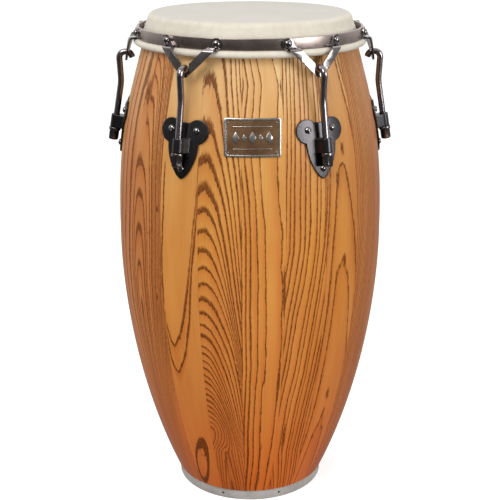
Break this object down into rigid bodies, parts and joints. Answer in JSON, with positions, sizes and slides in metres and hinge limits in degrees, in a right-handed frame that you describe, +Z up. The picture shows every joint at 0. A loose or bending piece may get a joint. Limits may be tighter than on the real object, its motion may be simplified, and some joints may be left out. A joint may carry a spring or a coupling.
{
  "type": "conga drum",
  "caption": "Barrel-shaped stave hand drum with a rawhide head pulled down by a crown rim, V straps, tuning hooks and flanged nuts on heart-shaped side plates.",
  "frame": {"origin": "centre of the foot, on the floor", "axes": "+Z up the drum's axis to the head; -Y is the front, with the badge; +X to the right seen from the front"},
  "size_m": [0.436, 0.4088, 0.762],
  "materials": {
    "shell_wood": "open-grained ash staves stained honey orange under gloss lacquer",
    "rawhide": "ivory rawhide, scraped, semi-matt",
    "rim_nickel": "brushed black nickel plate",
    "rod_nickel": "black nickel plate, satin",
    "plate_black": "black coating, satin",
    "fastener_nickel": "dark nickel plate, polished",
    "band_steel": "brushed steel strip",
    "hoop_steel": "plain drawn steel rod",
    "badge_bronze": "brushed bronze field in a nickel border"
  },
  "bodies": {
    "shell_assembly": {"shell": "shell_wood", "bottom_band": "band_steel", "badge_plate": "badge_bronze", "rawhide_head": "rawhide", "side_plate_1": "plate_black", "side_plate_2": "plate_black", "side_plate_3": "plate_black", "side_plate_4": "plate_black", "side_plate_5": "plate_black", "side_plate_6": "plate_black", "plate_bolt_1_left": "fastener_nickel", "plate_bolt_1_right": "fastener_nickel", "plate_bolt_1_low": "fastener_nickel", "plate_bolt_2_left": "fastener_nickel", "plate_bolt_2_right": "fastener_nickel", "plate_bolt_2_low": "fastener_nickel", "plate_bolt_3_left": "fastener_nickel", "plate_bolt_3_right": "fastener_nickel", "plate_bolt_3_low": "fastener_nickel", "plate_bolt_4_left": "fastener_nickel", "plate_bolt_4_right": "fastener_nickel", "plate_bolt_4_low": "fastener_nickel", "plate_bolt_5_left": "fastener_nickel", "plate_bolt_5_right": "fastener_nickel", "plate_bolt_5_low": "fastener_nickel", "plate_bolt_6_left": "fastener_nickel", "plate_bolt_6_right": "fastener_nickel", "plate_bolt_6_low": "fastener_nickel"},
    "crown": {"crown_rim": "rim_nickel", "flesh_hoop": "hoop_steel", "rim_strap_1": "rim_nickel", "rim_strap_2": "rim_nickel", "rim_strap_3": "rim_nickel", "rim_strap_4": "rim_nickel", "rim_strap_5": "rim_nickel", "rim_strap_6": "rim_nickel", "strap_screw_1_left": "fastener_nickel", "strap_screw_1_right": "fastener_nickel", "strap_screw_2_left": "fastener_nickel", "strap_screw_2_right": "fastener_nickel", "strap_screw_3_left": "fastener_nickel", "strap_screw_3_right": "fastener_nickel", "strap_screw_4_left": "fastener_nickel", "strap_screw_4_right": "fastener_nickel", "strap_screw_5_left": "fastener_nickel", "strap_screw_5_right": "fastener_nickel", "strap_screw_6_left": "fastener_nickel", "strap_screw_6_right": "fastener_nickel"},
    "hook_1": {"tuning_hook_1": "rod_nickel"},
    "hook_2": {"tuning_hook_2": "rod_nickel"},
    "hook_3": {"tuning_hook_3": "rod_nickel"},
    "hook_4": {"tuning_hook_4": "rod_nickel"},
    "hook_5": {"tuning_hook_5": "rod_nickel"},
    "hook_6": {"tuning_hook_6": "rod_nickel"},
    "nut_1": {"lug_nut_1": "rod_nickel"},
    "nut_2": {"lug_nut_2": "rod_nickel"},
    "nut_3": {"lug_nut_3": "rod_nickel"},
    "nut_4": {"lug_nut_4": "rod_nickel"},
    "nut_5": {"lug_nut_5": "rod_nickel"},
    "nut_6": {"lug_nut_6": "rod_nickel"}
  },
  "joints": [
    {"name": "rim_slide", "type": "slide", "parent": "shell_assembly", "child": "crown", "axis": [0, 0, -1], "range_m": [-0.004, 0.004], "deforming": ["rawhide_head"]},
    {"name": "hook_slide_1", "type": "slide", "parent": "shell_assembly", "child": "hook_1", "axis": [0.0847, -0.1467, -0.9856], "range_m": [-0.0041, 0.0041]},
    {"name": "hook_slide_2", "type": "slide", "parent": "shell_assembly", "child": "hook_2", "axis": [0.1693, 0, -0.9856], "range_m": [-0.0041, 0.0041]},
    {"name": "hook_slide_3", "type": "slide", "parent": "shell_assembly", "child": "hook_3", "axis": [0.0847, 0.1467, -0.9856], "range_m": [-0.0041, 0.0041]},
    {"name": "hook_slide_4", "type": "slide", "parent": "shell_assembly", "child": "hook_4", "axis": [-0.0847, 0.1467, -0.9856], "range_m": [-0.0041, 0.0041]},
    {"name": "hook_slide_5", "type": "slide", "parent": "shell_assembly", "child": "hook_5", "axis": [-0.1693, 0, -0.9856], "range_m": [-0.0041, 0.0041]},
    {"name": "hook_slide_6", "type": "slide", "parent": "shell_assembly", "child": "hook_6", "axis": [-0.0847, -0.1467, -0.9856], "range_m": [-0.0041, 0.0041]},
    {"name": "nut_spin_1", "type": "hinge", "parent": "shell_assembly", "child": "nut_1", "pos_m": [0.1032, -0.17875, 0.5968], "axis": [-0.0847, 0.1467, 0.9856], "range_deg": [-930, 930]},
    {"name": "nut_spin_2", "type": "hinge", "parent": "shell_assembly", "child": "nut_2", "pos_m": [0.2064, 0, 0.5968], "axis": [-0.1693, 0, 0.9856], "range_deg": [-930, 930]},
    {"name": "nut_spin_3", "type": "hinge", "parent": "shell_assembly", "child": "nut_3", "pos_m": [0.1032, 0.17875, 0.5968], "axis": [-0.0847, -0.1467, 0.9856], "range_deg": [-930, 930]},
    {"name": "nut_spin_4", "type": "hinge", "parent": "shell_assembly", "child": "nut_4", "pos_m": [-0.1032, 0.17875, 0.5968], "axis": [0.0847, -0.1467, 0.9856], "range_deg": [-930, 930]},
    {"name": "nut_spin_5", "type": "hinge", "parent": "shell_assembly", "child": "nut_5", "pos_m": [-0.2064, 0, 0.5968], "axis": [0.1693, 0, 0.9856], "range_deg": [-930, 930]},
    {"name": "nut_spin_6", "type": "hinge", "parent": "shell_assembly", "child": "nut_6", "pos_m": [-0.1032, -0.17875, 0.5968], "axis": [0.0847, 0.1467, 0.9856], "range_deg": [-930, 930]}
  ],
  "couplings": [
    {"joint": "hook_slide_1", "follows": "rim_slide", "ratio": 1.0147},
    {"joint": "hook_slide_2", "follows": "rim_slide", "ratio": 1.0147},
    {"joint": "hook_slide_3", "follows": "rim_slide", "ratio": 1.0147},
    {"joint": "hook_slide_4", "follows": "rim_slide", "ratio": 1.0147},
    {"joint": "hook_slide_5", "follows": "rim_slide", "ratio": 1.0147},
    {"joint": "hook_slide_6", "follows": "rim_slide", "ratio": 1.0147},
    {"joint": "nut_spin_1", "follows": "rim_slide", "rad_per_m": 4015.9},
    {"joint": "nut_spin_2", "follows": "rim_slide", "rad_per_m": 4015.9},
    {"joint": "nut_spin_3", "follows": "rim_slide", "rad_per_m": 4015.9},
    {"joint": "nut_spin_4", "follows": "rim_slide", "rad_per_m": 4015.9},
    {"joint": "nut_spin_5", "follows": "rim_slide", "rad_per_m": 4015.9},
    {"joint": "nut_spin_6", "follows": "rim_slide", "rad_per_m": 4015.9}
  ]
}
